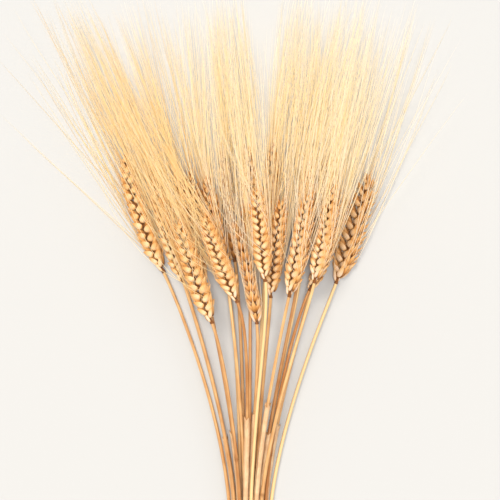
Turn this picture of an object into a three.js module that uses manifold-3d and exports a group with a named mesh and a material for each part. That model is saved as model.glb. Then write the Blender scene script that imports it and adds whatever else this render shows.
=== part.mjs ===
// A loose bundle of dried bearded wheat, lying on a flat surface. Millimetres.
// +X runs across the bundle, +Y along it from the cut ends to the tips of the awns, and +Z is up.
// Each stalk is a straw (stem), an ear with its long bristles (awns), and on some stalks the dried
// sheath of a leaf that still hugs the straw. The stalks lie in three layers that fan out in order.
import * as THREE from "three";
import { mergeVertices } from "three/addons/utils/BufferGeometryUtils.js";
import Module from "manifold-3d";

const wasm = await Module();
wasm.setup();

// ---- Driving dimensions ----
// The middle of the bundle's outline seen from above, which becomes the origin. The stalks below
// are placed from the middle of the waist and the lowest cut end.
const OUTLINE_CENTRE = [-13.2, 244.6];

const GAP = 0.3; // clearance between pieces that touch in the real bundle

const WAIST_Y = 92; // where the stalks lie closest together
const WAIST_PITCH = 3.5; // between neighbouring stems of one layer, at the waist
const CUT_SPREAD = 1.35; // how much wider than the waist the cut ends lie
const STRAIGHT_FROM_WAIST = 0.36; // share of the way up over which a straw leaves its waist direction
const BEND_AT_EAR = 0.16; // share of the way up over which it turns to the lean of its ear

const STEM_FOOT_RADIUS = 1.3;
const STEM_NECK_RADIUS = 0.95;
const STEM_SIDES = 6;
const STEM_STEPS = 11;

const EAR_NECK_RADIUS = 1.5; // where the ear starts, on top of the straw
const EAR_THICKNESS = 11.4; // across the two rows of spikelets
const FULLEST_LOW = 0.75; // power that sets the fullest place of an ear below its middle
const EAR_SIDES = 8;
const SPIKELET_PAIRS = 7; // steps in the outline of each side of the ear
const HUSK_RELIEF = 0.1; // how far the husks step in and out, as a share of the radius
const PRESSED_FLAT = 0.45; // how deep the lowest husks are flattened where they carry the bundle

const AWNS = 7; // bristles kept on each ear
const AWN_SIDES = 3;
const AWN_STEPS = 2;
const AWN_ROOT_RADIUS = 0.45;
const AWN_TIP_RADIUS = 0.15;
const AWN_REACH = 134; // length of the lowest bristle of an ear
const AWN_SHORTENING = 0.12; // how much shorter the bristle on the tip is, as a share
const AWN_ZONE = [0.3, 0.9]; // shares of the ear's length between which the bristles stand
const AWN_OFFSET = 0.3; // how far beside the ear's axis the lowest starts, as a share of the width
const AWN_FAN = 0.95; // how much of the room on each side the lowest bristle takes
const AWN_TURN = 2.4; // radians round the ear from one bristle to the next, near the golden angle
const AWN_SAG = 0.15; // how far above a straight line the middle lies, as a share of the lift

const SHEATH_WALL = 0.4;
const SHEATH_SLIT = 0.5; // half the open angle of the split tube, in radians
const SHEATH_STEPS = 5;
const SHEATH_ARC_STEPS = 5;

// The three layers, from the lowest up: heights of the stems at the waist and at the cut end and of
// the ears, how far the tips of the bristles fall and rise from the ears, and how much further the
// outermost bristles slope to the left and right.
const EAR_Z = EAR_THICKNESS / 2 - PRESSED_FLAT;
const LAYERS = [
  { waistZ: 2.3, cutZ: 1.75, earZ: EAR_Z, fall: 4.6, rise: 4.6, flare: [-0.85, 0.5] },
  { waistZ: 5.9, cutZ: 5.3, earZ: EAR_Z + 12.4, fall: 4.6, rise: 4.6, flare: [-0.5, 0.25] },
  { waistZ: 9.5, cutZ: 8.9, earZ: EAR_Z + 24.8, fall: 4.6, rise: 19, flare: [-0.25, 0.2] },
];
const NECK_DROP = 1.6; // how much lower an ear's neck lies than its middle

// Each stalk, from left to right within its layer: where the ear starts (neck) and ends (tip) seen
// from above, how far the ear bows to its left, its width, how far up the cut end stays, and the
// two ends of its leaf sheath, measured along the straw.
const STALKS = [
  { layer: 0, neck: [-63, 284], tip: [-93, 372], bow: 6, width: 12.4, cut: 4 },
  { layer: 0, neck: [-53, 292], tip: [-72, 368], bow: 1, width: 12, cut: 0, sheath: [52, 164] },
  { layer: 0, neck: [-21, 290], tip: [-47, 358], bow: 1, width: 12.6, cut: 7 },
  { layer: 0, neck: [-11, 292], tip: [-20, 374], bow: 1, width: 12, cut: 2, sheath: [40, 170] },
  { layer: 0, neck: [0, 295], tip: [-2, 376], bow: -1, width: 12, cut: 9 },
  { layer: 0, neck: [12, 296], tip: [17, 380], bow: -1, width: 12, cut: 3, sheath: [46, 158] },
  { layer: 0, neck: [38, 292], tip: [42, 375], bow: 0, width: 12, cut: 6 },
  { layer: 0, neck: [49, 292], tip: [59, 372], bow: -1, width: 12, cut: 1, sheath: [58, 172] },
  { layer: 0, neck: [63, 276], tip: [88, 356], bow: -2, width: 14.4, cut: 5 },

  { layer: 1, neck: [-48, 277], tip: [-70, 354], bow: 2, width: 12, cut: 8 },
  { layer: 1, neck: [-33, 275], tip: [-52, 354], bow: 1, width: 12, cut: 3, sheath: [44, 166] },
  { layer: 1, neck: [-17, 279], tip: [-32, 356], bow: 0, width: 12, cut: 11 },
  { layer: 1, neck: [5, 247], tip: [-13, 321], bow: -5, width: 12.6, cut: 5, sheath: [50, 176] },
  { layer: 1, neck: [15, 266], tip: [24, 340], bow: 2, width: 12, cut: 0 },
  { layer: 1, neck: [35, 282], tip: [43, 361], bow: 0, width: 12, cut: 7, sheath: [42, 160] },
  { layer: 1, neck: [43, 271], tip: [71, 338], bow: -2, width: 12, cut: 2 },

  { layer: 2, neck: [-27, 248], tip: [-52, 323], bow: 2, width: 14.4, cut: 6 },
  { layer: 2, neck: [-9, 263], tip: [-34, 328], bow: 2, width: 12.6, cut: 1, sheath: [48, 178] },
  { layer: 2, neck: [11, 278], tip: [4, 347], bow: 0, width: 12.4, cut: 10 },
  { layer: 2, neck: [28, 267], tip: [43, 343], bow: -1, width: 14, cut: 4, sheath: [54, 186] },
  { layer: 2, neck: [46, 277], tip: [61, 349], bow: -1, width: 13, cut: 8 },
];

const STRAW = new THREE.Color("#dda963");
const HUSK = new THREE.Color("#e3b277");
const PAPERY_LEAF = new THREE.Color("#dcc0a0");

// ---- Shared geometry helpers ----

// A closed geometry as a solid that can be joined and cut.
function solidFrom(geometry) {
  geometry.deleteAttribute("normal");
  geometry.deleteAttribute("uv");
  const merged = mergeVertices(geometry, 1e-3);
  return new wasm.Manifold(
    new wasm.Mesh({
      numProp: 3,
      vertProperties: merged.attributes.position.array,
      triVerts: new Uint32Array(merged.index.array),
    }),
  );
}

function geometryFrom(solid) {
  const { vertProperties, triVerts } = solid.getMesh();
  const geometry = new THREE.BufferGeometry();
  geometry.setAttribute("position", new THREE.BufferAttribute(vertProperties, 3));
  geometry.setIndex(new THREE.BufferAttribute(triVerts, 1));
  geometry.computeVertexNormals();
  return geometry;
}

// Bends a geometry that stands along +Y so that it follows a curve: its Y becomes the distance along
// the curve, its X stays level and its Z stays upright.
function bentAlong(geometry, curve) {
  const length = curve.getLength();
  const upright = new THREE.Vector3(0, 0, 1);
  const place = geometry.attributes.position;
  const vertex = new THREE.Vector3();
  for (let i = 0; i < place.count; i++) {
    vertex.fromBufferAttribute(place, i);
    const along = THREE.MathUtils.clamp(vertex.y / length, 0, 1);
    const tangent = curve.getTangentAt(along);
    const across = tangent.clone().cross(upright).normalize();
    const up = across.clone().cross(tangent);
    const point = curve.getPointAt(along);
    point.addScaledVector(across, vertex.x).addScaledVector(up, vertex.z);
    place.setXYZ(i, point.x, point.y, point.z);
  }
  return geometry;
}

// A round rod along a curve, thicker at its foot than at its end.
function taperedRod(curve, footRadius, endRadius, sides, steps) {
  const length = curve.getLength();
  const rod = new THREE.CylinderGeometry(endRadius, footRadius, length, sides, steps);
  rod.translate(0, length / 2, 0);
  return bentAlong(rod, curve);
}

function mesh(name, geometry, colour, roughness) {
  const material = new THREE.MeshStandardMaterial({ color: colour, roughness, metalness: 0 });
  const made = new THREE.Mesh(geometry, material);
  made.name = name;
  return made;
}

// ---- Where each stalk lies ----

// The stalks of one layer, from left to right.
const layerOf = (stalk) => STALKS.filter(({ layer }) => layer === stalk.layer);

// The ear's own axis, a gentle bow from its neck to its tip.
function earCurve(stalk) {
  const { earZ } = LAYERS[stalk.layer];
  const neck = new THREE.Vector3(...stalk.neck, earZ - NECK_DROP);
  const tip = new THREE.Vector3(...stalk.tip, earZ);
  const leftwards = new THREE.Vector3(neck.y - tip.y, tip.x - neck.x, 0).normalize();
  const middle = neck.clone().lerp(tip, 0.5).addScaledVector(leftwards, stalk.bow).setZ(earZ);
  return new THREE.QuadraticBezierCurve3(neck, middle, tip);
}

// The straw's axis: from the cut end in to the waist, then fanning out and up to the ear.
function stemCurve(stalk) {
  const { waistZ, cutZ } = LAYERS[stalk.layer];
  const layer = layerOf(stalk);
  const waistX = (layer.indexOf(stalk) - (layer.length - 1) / 2) * WAIST_PITCH;
  const ear = earCurve(stalk);
  const neck = ear.getPoint(0).addScaledVector(ear.getTangent(0), -GAP);
  const rise = neck.y - WAIST_Y;

  const cutEnd = new THREE.Vector3(waistX * CUT_SPREAD, stalk.cut, cutZ);
  const waist = new THREE.Vector3(waistX, WAIST_Y, waistZ);
  const belowWaist = new THREE.Vector3(waistX, (WAIST_Y + stalk.cut) / 2, waistZ);
  const aboveWaist = new THREE.Vector3(waistX, WAIST_Y + STRAIGHT_FROM_WAIST * rise, waistZ);
  const belowEar = neck.clone().addScaledVector(ear.getTangent(0), -BEND_AT_EAR * rise);

  const path = new THREE.CurvePath();
  path.add(new THREE.QuadraticBezierCurve3(cutEnd, belowWaist, waist));
  path.add(new THREE.CubicBezierCurve3(waist, aboveWaist, belowEar, neck));
  return path;
}

// The slope, X over Y, at which the bristles of an ear lean: between the ear's own lean and that of
// a fan spread from the cut ends.
function awnSlope({ neck, tip }) {
  const ownLean = (tip[0] - neck[0]) / (tip[1] - neck[1]);
  return (ownLean + tip[0] / tip[1]) / 2;
}

// How far the outer bristles of an ear lean to each side, halfway to those of the next ear.
function awnSlopeLimits(stalk) {
  const layer = layerOf(stalk);
  const place = layer.indexOf(stalk);
  const own = awnSlope(stalk);
  return [-1, 1].map((side, i) => {
    const next = layer[place + side];
    return next ? (own + awnSlope(next)) / 2 : own + LAYERS[stalk.layer].flare[i];
  });
}

// ---- The pieces ----

function stem(stalk) {
  const curve = stemCurve(stalk);
  return taperedRod(curve, STEM_FOOT_RADIUS, STEM_NECK_RADIUS, STEM_SIDES, STEM_STEPS);
}

// Half the thickness of an ear at a share of its length, blunt at both ends.
function earRadius(share) {
  const fullest = EAR_THICKNESS / 2;
  const swell = Math.sqrt(Math.max(Math.sin(Math.PI * share ** FULLEST_LOW), 0));
  return Math.max(fullest * swell, EAR_NECK_RADIUS);
}

// The body of an ear: rings whose left and right sides step in and out by turns, as the husks do.
function earBody(stalk, curve) {
  const length = curve.getLength();
  const rings = SPIKELET_PAIRS * 2;
  const profile = [new THREE.Vector2(0, 0)];
  for (let ring = 0; ring < rings; ring++) {
    const share = ring / rings;
    profile.push(new THREE.Vector2(earRadius(share), share * length));
  }
  profile.push(new THREE.Vector2(0, length));

  const flatBelow = Math.PI / EAR_SIDES; // turns the rings so that a flat side faces down
  const body = new THREE.LatheGeometry(profile, EAR_SIDES, flatBelow);
  const place = body.attributes.position;
  const widening = stalk.width / EAR_THICKNESS;
  for (let i = 0; i < place.count; i++) {
    const ring = Math.round((place.getY(i) / length) * rings);
    const inOrOut = ring === 0 ? 0 : Math.sign(place.getX(i)) * (ring % 2 ? 1 : -1);
    const relief = 1 + HUSK_RELIEF * inOrOut;
    place.setX(i, place.getX(i) * widening * relief);
    place.setZ(i, place.getZ(i) * (ring === 0 ? 1 : relief));
  }
  return bentAlong(body, curve);
}

// The bristles: the lowest on the ear lean out the most, and the one on its tip runs straight on.
function earAwns(stalk, curve) {
  const lean = awnSlope(stalk);
  const [left, right] = awnSlopeLimits(stalk);
  const { fall, rise } = LAYERS[stalk.layer];
  return Array.from({ length: AWNS }, (_, i) => {
    const height = i / (AWNS - 1); // 0 at the lowest bristle, 1 at the one on the tip
    const side = i % 2 ? 1 : -1;
    const outwards = (1 - height) * AWN_FAN;
    const slope = lean + ((side < 0 ? left : right) - lean) * outwards;
    const reach = AWN_REACH * (1 - AWN_SHORTENING * height);
    const lift = THREE.MathUtils.mapLinear(Math.cos(i * AWN_TURN), -1, 1, -fall, rise);

    const root = curve.getPointAt(THREE.MathUtils.lerp(...AWN_ZONE, height));
    root.x += side * AWN_OFFSET * stalk.width * (1 - height);
    const ahead = new THREE.Vector3(slope, 1, 0).normalize();
    const tip = root.clone().addScaledVector(ahead, reach);
    tip.z += lift;
    const middle = root.clone().lerp(tip, 0.5);
    middle.z += AWN_SAG * lift;
    const line = new THREE.QuadraticBezierCurve3(root, middle, tip);
    return taperedRod(line, AWN_ROOT_RADIUS, AWN_TIP_RADIUS, AWN_SIDES, AWN_STEPS);
  });
}

// Everything below the surface that the bundle lies on.
function belowGround() {
  const side = 2000;
  return solidFrom(new THREE.BoxGeometry(side, side, side).translate(0, 0, -side / 2));
}

function ear(stalk) {
  const curve = earCurve(stalk);
  const body = solidFrom(earBody(stalk, curve));
  const joined = earAwns(stalk, curve).reduce((whole, awn) => whole.add(solidFrom(awn)), body);
  return geometryFrom(joined.subtract(belowGround()));
}

// A leaf's dried sheath: a split tube round the straw.
function leafSheath(stalk) {
  const [lower, upper] = stalk.sheath;
  const inner = STEM_FOOT_RADIUS + GAP;
  const outline = new THREE.Shape();
  outline.absarc(0, 0, inner + SHEATH_WALL, SHEATH_SLIT, 2 * Math.PI - SHEATH_SLIT, false);
  outline.absarc(0, 0, inner, 2 * Math.PI - SHEATH_SLIT, SHEATH_SLIT, true);
  const tube = new THREE.ExtrudeGeometry(outline, {
    depth: upper - lower,
    steps: SHEATH_STEPS,
    curveSegments: SHEATH_ARC_STEPS,
    bevelEnabled: false,
  });
  tube.rotateX(-Math.PI / 2).translate(0, lower, 0);
  return bentAlong(tube, stemCurve(stalk));
}

// ---- The bundle ----

const bundle = new THREE.Group();
let sheaths = 0;
STALKS.forEach((stalk, i) => {
  const number = String(i + 1).padStart(2, "0");
  bundle.add(mesh(`stem_${number}`, stem(stalk), STRAW, 0.45));
  bundle.add(mesh(`ear_${number}`, ear(stalk), HUSK, 0.6));
  if (stalk.sheath) {
    sheaths += 1;
    const name = `leaf_sheath_${String(sheaths).padStart(2, "0")}`;
    bundle.add(mesh(name, leafSheath(stalk), PAPERY_LEAF, 0.8));
  }
});

bundle.position.set(-OUTLINE_CENTRE[0], -OUTLINE_CENTRE[1], 0);

export default bundle;
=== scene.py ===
"""A loose bundle of dried bearded wheat, lying on a pale surface.

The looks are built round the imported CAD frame, whose +X runs across the bundle, +Y from the cut
ends to the tips of the awns and +Z up. Shapes are worked out in millimetres and kept in metres.
"""

import sys
import logging
import math
from collections.abc import Callable, Sequence
from dataclasses import dataclass, field
from enum import Enum

import bmesh
import bpy
import numpy as np
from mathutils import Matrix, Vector


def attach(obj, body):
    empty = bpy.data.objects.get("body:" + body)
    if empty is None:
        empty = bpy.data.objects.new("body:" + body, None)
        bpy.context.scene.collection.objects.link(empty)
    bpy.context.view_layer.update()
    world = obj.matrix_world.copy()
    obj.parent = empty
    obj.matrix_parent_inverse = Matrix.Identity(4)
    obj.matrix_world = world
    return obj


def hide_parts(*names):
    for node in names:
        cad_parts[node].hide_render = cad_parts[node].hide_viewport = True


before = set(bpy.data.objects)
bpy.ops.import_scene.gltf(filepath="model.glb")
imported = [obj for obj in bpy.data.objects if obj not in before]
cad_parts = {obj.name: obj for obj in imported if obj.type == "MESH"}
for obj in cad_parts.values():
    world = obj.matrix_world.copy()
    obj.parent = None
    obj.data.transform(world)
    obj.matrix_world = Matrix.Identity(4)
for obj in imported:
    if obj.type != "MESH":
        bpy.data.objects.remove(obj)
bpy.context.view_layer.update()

MM = 0.001
LOWEST = 0.1  # millimetres above the surface, below which no straw or awn is laid
SAME = 1e-9  # millimetres within which two places of a line count as one
ANY_TURN = 6.0  # the most that a wave is shifted, in radians
log = logging.getLogger("wheat")

Points = np.ndarray
Link = bpy.types.NodeSocket


# ---- Where each stalk lies, as in the CAD frame ----


@dataclass(frozen=True)
class Layer:
    """One of the three layers of stalks, in millimetres above the surface.

    Attributes:
        waist: height of the straws where they lie closest together.
        cut: height of the cut ends.
        ear: height of the middle of the ears.
        room: lowest and highest place that the awns of these ears may reach.
    """

    waist: float
    cut: float
    ear: float
    room: tuple[float, float]


LAYERS = (
    Layer(2.3, 1.75, 5.25, (0.5, 17.0)),
    Layer(5.9, 5.3, 17.65, (5.0, 31.0)),
    Layer(9.5, 8.9, 30.05, (19.0, 54.0)),
)


@dataclass(frozen=True)
class Stalk:
    """A straw with its ear. Places are X and Y from the waist and the lowest cut end, in mm.

    Attributes:
        layer: which layer it lies in.
        neck: where the ear starts.
        tip: where the ear ends.
        bow: how far the ear bows to its left.
        width: the ear's width.
        cut: how far up the cut end stays.
        comb: which way its awns run, X over Y.
        sheath: the two ends of the leaf sheath, measured along the straw.
        roll: how far the ear is turned about its own length, in degrees. At 0 both rows show.
        ripeness: the ear's colour, from pale pinkish beige at 0 to orange-brown at 1.
        veil: how far its awns close over the ear's tip, X over Y.
        flare: how far its outermost awns stray to the left (below 0) or the right.
        gape: how much wider its spikelets stand open, in degrees.
        spikelets: how many spikelets its two rows hold.
        swept: how much further the awns on its far side are combed over it, X over Y.
    """

    layer: int
    neck: tuple[float, float]
    tip: tuple[float, float]
    bow: float
    width: float
    cut: float
    comb: float
    sheath: tuple[float, float] | None = None
    roll: float = 0.0
    ripeness: float = 0.5
    veil: float = 0.12
    flare: float = 0.0
    gape: float = 0.0
    spikelets: int = 24
    swept: float = 0.0


STALKS = (
    Stalk(0, (-63, 284), (-93, 372), 6, 12.4, 4, -0.42, None, -18, 0.60, 0.0, -0.52),
    Stalk(0, (-53, 292), (-72, 368), 1, 12.0, 0, -0.45, (52, 164), 25, 0.70),
    Stalk(0, (-21, 290), (-47, 358), 1, 12.6, 7, -0.25, None, 12, 0.95, 0.0),
    Stalk(0, (-11, 292), (-20, 374), 1, 12.0, 2, -0.045, (40, 170), 80, 0.95),
    Stalk(0, (0, 295), (-2, 376), -1, 12.0, 9, -0.12, None, 20, 0.75),
    Stalk(0, (12, 296), (17, 380), -1, 12.0, 3, 0.187, (46, 158), -40, 0.70),
    Stalk(0, (38, 292), (42, 375), 0, 12.0, 6, 0.0, None, 10, 0.85),
    Stalk(0, (49, 292), (59, 372), -1, 12.0, 1, 0.158, (58, 172), -15, 0.75),
    Stalk(0, (63, 276), (88, 356), -2, 14.4, 5, 0.26, None, -38, 0.36, 0.05, 0.42, 22, 19),
    Stalk(1, (-48, 277), (-70, 354), 2, 12.0, 8, -0.47, None, -35, 0.55, 0.0),
    Stalk(1, (-33, 275), (-52, 354), 1, 12.0, 3, -0.29, (44, 166), 50, 0.75, swept=0.1),
    Stalk(1, (-17, 279), (-32, 356), 0, 12.0, 11, -0.09, None, -60, 0.70),
    Stalk(1, (5, 247), (-13, 321), -5, 12.6, 5, -0.11, (50, 176), 84, 0.16, 0.06, 0.0, 19, 19),
    Stalk(1, (15, 266), (24, 340), 2, 12.0, 0, 0.12, None, -10, 0.62),
    Stalk(1, (35, 282), (43, 361), 0, 12.0, 7, 0.235, (42, 160), -30, 0.70),
    Stalk(1, (43, 271), (71, 338), -2, 12.0, 2, 0.276, None, -70, 0.55, 0.08, 0.2),
    Stalk(2, (-27, 248), (-52, 323), 2, 14.4, 6, -0.37, None, -15, 0.52, 0.16, 0.0, 0, 22, 0.08),
    Stalk(2, (-9, 263), (-34, 328), 2, 12.6, 1, -0.5, (48, 178), -16, 0.42, 0.13, swept=0.12),
    Stalk(2, (11, 278), (4, 347), 0, 12.4, 10, -0.13, None, -12, 0.50, 0.2),
    Stalk(2, (28, 267), (43, 343), -1, 14.0, 4, 0.235, (54, 186), -46, 0.42, 0.12, 0.0, 6),
    Stalk(2, (46, 277), (61, 349), -1, 13.0, 8, 0.16, None, -42, 0.26, 0.12, 0.15, 6),
)


def bezier(*control: Points, count: int = 120) -> Points:
    """Points along the curve that a row of control points draws.

    Args:
        control: the control points, each of three numbers.
        count: how many points to return.

    Returns:
        The points, as rows of three numbers.
    """
    share = np.linspace(0, 1, count)[:, None]
    row = [np.broadcast_to(np.asarray(p, float), (count, 3)) for p in control]
    while len(row) > 1:
        row = [a + (b - a) * share for a, b in zip(row[:-1], row[1:], strict=True)]
    return row[0]


class Line:
    """A smooth line through the bundle, measured along its own length in millimetres.

    Attributes:
        points: places along it.
        reach: how far along the line each of them is.
        length: the length of the whole line.
        heading: the direction of the line at each of them.
    """

    def __init__(self, points: Points) -> None:
        """Keeps the line's points.

        Args:
            points: places along the line, close enough together to draw it.
        """
        steps = np.linalg.norm(np.diff(points, axis=0), axis=1)
        apart = steps > SAME
        self.points = points[np.concatenate([[True], apart])]
        self.reach = np.concatenate([[0.0], np.cumsum(steps[apart])])
        self.length = float(self.reach[-1])
        self.heading = np.gradient(self.points, self.reach, axis=0)

    def at(self, distance: Points) -> tuple[Points, Points, Points, Points]:
        """Where the line is at each distance, and how it is turned there.

        Args:
            distance: distances along the line, which may run past its ends.

        Returns:
            The places, and the directions across, along and up from the line.
        """
        held = np.clip(distance, 0, self.length)
        place = np.stack([np.interp(held, self.reach, c) for c in self.points.T], -1)
        along = np.stack([np.interp(held, self.reach, c) for c in self.heading.T], -1)
        along /= np.linalg.norm(along, axis=-1, keepdims=True)
        across = np.cross(along, (0.0, 0.0, 1.0))
        across /= np.linalg.norm(across, axis=-1, keepdims=True)
        place = place + along * (distance - held)[..., None]
        return place, across, along, np.cross(across, along)

    def carry(self, local: Points) -> Points:
        """Lays points on the line, with X across it, Y along it and Z up from it."""
        place, across, _, up = self.at(local[..., 1])
        return place + across * local[..., :1] + up * local[..., 2:]


@dataclass(frozen=True)
class Layout:
    """Where the straws, ears and awns lie. Lengths in millimetres.

    Attributes:
        centre: the frame's origin, from the waist and the lowest cut end.
        waist_y: how far up the straws lie closest together.
        waist_pitch: the distance from one straw to the next there.
        cut_spread: how many times further apart the cut ends lie.
        straight_from_waist: share of the way up from the waist that a straw stays straight.
        bend_at_ear: share of the way over which it bends into the ear.
        neck_drop: how much lower an ear's neck lies than its tip.
        highest_awn: how far up the longest awns may reach.
    """

    centre: tuple[float, float] = (-13.2, 244.6)
    waist_y: float = 92.0
    waist_pitch: float = 3.5
    cut_spread: float = 1.35
    straight_from_waist: float = 0.36
    bend_at_ear: float = 0.16
    neck_drop: float = 1.6
    highest_awn: float = 502.0

    def ear(self, stalk: Stalk) -> Line:
        """Finds the ear's own axis, a gentle bow from its neck to its tip.

        Args:
            stalk: the stalk that bears the ear.

        Returns:
            The axis.
        """
        height = LAYERS[stalk.layer].ear
        neck = np.array([*stalk.neck, height - self.neck_drop], float)
        tip = np.array([*stalk.tip, height], float)
        leftwards = np.array([neck[1] - tip[1], tip[0] - neck[0], 0.0])
        leftwards /= np.linalg.norm(leftwards)
        middle = (neck + tip) / 2 + leftwards * stalk.bow
        middle[2] = height
        return Line(bezier(neck, middle, tip))

    def straw(self, stalk: Stalk) -> Line:
        """Finds the straw's axis, from the cut end through the waist and up to the ear.

        Args:
            stalk: the stalk that the straw belongs to.

        Returns:
            The axis.
        """
        layer = LAYERS[stalk.layer]
        row = [s for s in STALKS if s.layer == stalk.layer]
        waist_x = (row.index(stalk) - (len(row) - 1) / 2) * self.waist_pitch
        place, _, along, _ = self.ear(stalk).at(np.array(0.0))
        rise = place[1] - self.waist_y
        cut_end = (waist_x * self.cut_spread, stalk.cut, layer.cut)
        waist = (waist_x, self.waist_y, layer.waist)
        below = (waist_x, (self.waist_y + stalk.cut) / 2, layer.waist)
        above = (waist_x, self.waist_y + self.straight_from_waist * rise, layer.waist)
        lower = bezier(cut_end, below, waist)
        upper = bezier(waist, above, place - along * self.bend_at_ear * rise, place)
        return Line(np.concatenate([lower, upper[1:]]))

    def in_frame(self, places: Points) -> Points:
        """Moves places to the frame's origin and turns millimetres to metres."""
        return (places - np.array([*self.centre, 0.0])) * MM


# ---- Modelling ----


@dataclass(frozen=True)
class Ring:
    """One ring of a modelled column: its height, its half sizes and how far it is moved.

    Attributes:
        height: its place along the column.
        across: its half width.
        deep: its half thickness.
        forward: how far it is moved towards its thick side.
    """

    height: float
    across: float
    deep: float
    forward: float = 0.0


class Column:
    """A column modelled ring by ring in edit mode, from a cylinder.

    Attributes:
        object: the Blender object, left in edit mode until its shape is read.
        floors: the numbers of the vertices on each ring, from the lowest up.
    """

    def __init__(self, name: str, sides: int, rings: Sequence[Ring], closed: bool = True) -> None:
        """Models the column.

        Args:
            name: name of the new object.
            sides: how many sides it has.
            rings: its rings, from the lowest up.
            closed: whether its two ends are filled.
        """
        bpy.ops.object.select_all(action="DESELECT")
        bpy.ops.mesh.primitive_cylinder_add(
            vertices=sides,
            radius=1,
            depth=1,
            end_fill_type="NGON" if closed else "NOTHING",
            location=(0, 0, 0),
        )
        self.object = bpy.context.object
        self.object.name = self.object.data.name = name
        bpy.ops.object.mode_set(mode="EDIT")
        bpy.ops.mesh.select_mode(type="EDGE")
        self.pick_edges(lambda a, b: abs(a.z - b.z) > 0.5)  # the upright ones
        bpy.ops.mesh.subdivide(number_cuts=len(rings) - 2)
        bpy.ops.mesh.select_mode(type="VERT")
        heights = [i / (len(rings) - 1) - 0.5 for i in range(len(rings))]
        mesh, near = self.mesh, 0.1 / len(rings)
        self.floors = [[v.index for v in mesh.verts if abs(v.co.z - h) < near] for h in heights]
        for floor, height, ring in zip(self.floors, heights, rings, strict=True):
            self.pick(floor)
            bpy.ops.transform.resize(
                value=(ring.across, ring.deep, 1), center_override=(0, 0, height)
            )
            bpy.ops.transform.translate(value=(0, ring.forward, ring.height - height))

    @property
    def mesh(self) -> bmesh.types.BMesh:
        """Reads the mesh as edit mode holds it.

        Returns:
            The mesh, with the numbers of its vertices up to date.
        """
        mesh = bmesh.from_edit_mesh(self.object.data)
        mesh.verts.index_update()
        mesh.verts.ensure_lookup_table()
        return mesh

    def pick_edges(self, wanted: Callable[..., bool]) -> None:
        """Selects some edges and nothing else.

        Args:
            wanted: says of an edge's two ends whether it is one of them.
        """
        bpy.ops.mesh.select_all(action="DESELECT")
        mesh = self.mesh
        for edge in mesh.edges:
            edge.select_set(wanted(edge.verts[0].co, edge.verts[1].co))
        bmesh.update_edit_mesh(self.object.data)

    def pick(self, numbers: Sequence[int]) -> None:
        """Selects some vertices and nothing else.

        Args:
            numbers: their numbers.
        """
        bpy.ops.mesh.select_all(action="DESELECT")
        mesh = self.mesh
        for number in numbers:
            mesh.verts[number].select_set(True)
        mesh.select_flush(True)
        bmesh.update_edit_mesh(self.object.data)

    def pick_where(self, wanted: Callable[..., bool]) -> None:
        """Selects the vertices whose places pass a test, and nothing else."""
        mesh = self.mesh
        self.pick([v.index for v in mesh.verts if wanted(v.co)])

    def shape(self) -> "Shape":
        """Leaves edit mode, reads the finished shape and clears the object away.

        Returns:
            The shape.
        """
        bpy.ops.object.mode_set(mode="OBJECT")
        read = Shape.of(self.object.data)
        bpy.data.meshes.remove(self.object.data)
        return read


def numbers(items: object, name: str, kind: type, width: int = 1) -> Points:
    """Reads one property of all of a mesh's vertices, corners or faces.

    Args:
        items: the mesh's list of them.
        name: the property.
        kind: the type of its numbers.
        width: how many numbers each item has.

    Returns:
        The numbers, in rows if an item has more than one.
    """
    found = np.empty(len(items) * width, kind)
    items.foreach_get(name, found)
    return found.reshape(-1, width) if width > 1 else found


@dataclass(frozen=True)
class Shape:
    """A modelled shape, read so that copies of it can be laid where they grow.

    Attributes:
        points: its vertices, with Z along its length.
        corners: the vertex at each corner of each face.
        counts: how many corners each face has.
        wrap: how far round the shape and how far along it each corner lies, from 0 to 1.
    """

    points: Points
    corners: Points
    counts: Points
    wrap: Points

    @classmethod
    def of(cls, mesh: bpy.types.Mesh) -> "Shape":
        """Reads a mesh that began as a cylinder, whose own map keeps its side in the upper half.

        Args:
            mesh: the finished mesh.

        Returns:
            The shape.
        """
        points = numbers(mesh.vertices, "co", np.float32, 3).astype(float)
        corners = numbers(mesh.loops, "vertex_index", np.int32)
        counts = numbers(mesh.polygons, "loop_total", np.int32)
        wrap = numbers(mesh.uv_layers[0].uv, "vector", np.float32, 2).astype(float)
        first = np.concatenate([[0], np.cumsum(counts)[:-1]])
        upper = 0.499  # where a new cylinder's own map starts to hold its side, but for rounding
        side = np.repeat(np.minimum.reduceat(wrap[:, 1], first) > upper, counts)
        low, high = points[:, 2].min(), points[:, 2].max()
        height = (points[corners, 2] - low) / (high - low)
        ends = np.stack([np.full_like(height, 0.5), height], 1)
        wrap = np.where(side[:, None], wrap * (1, 2) - (0, 1), ends)
        return cls(points, corners, counts, wrap)


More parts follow.
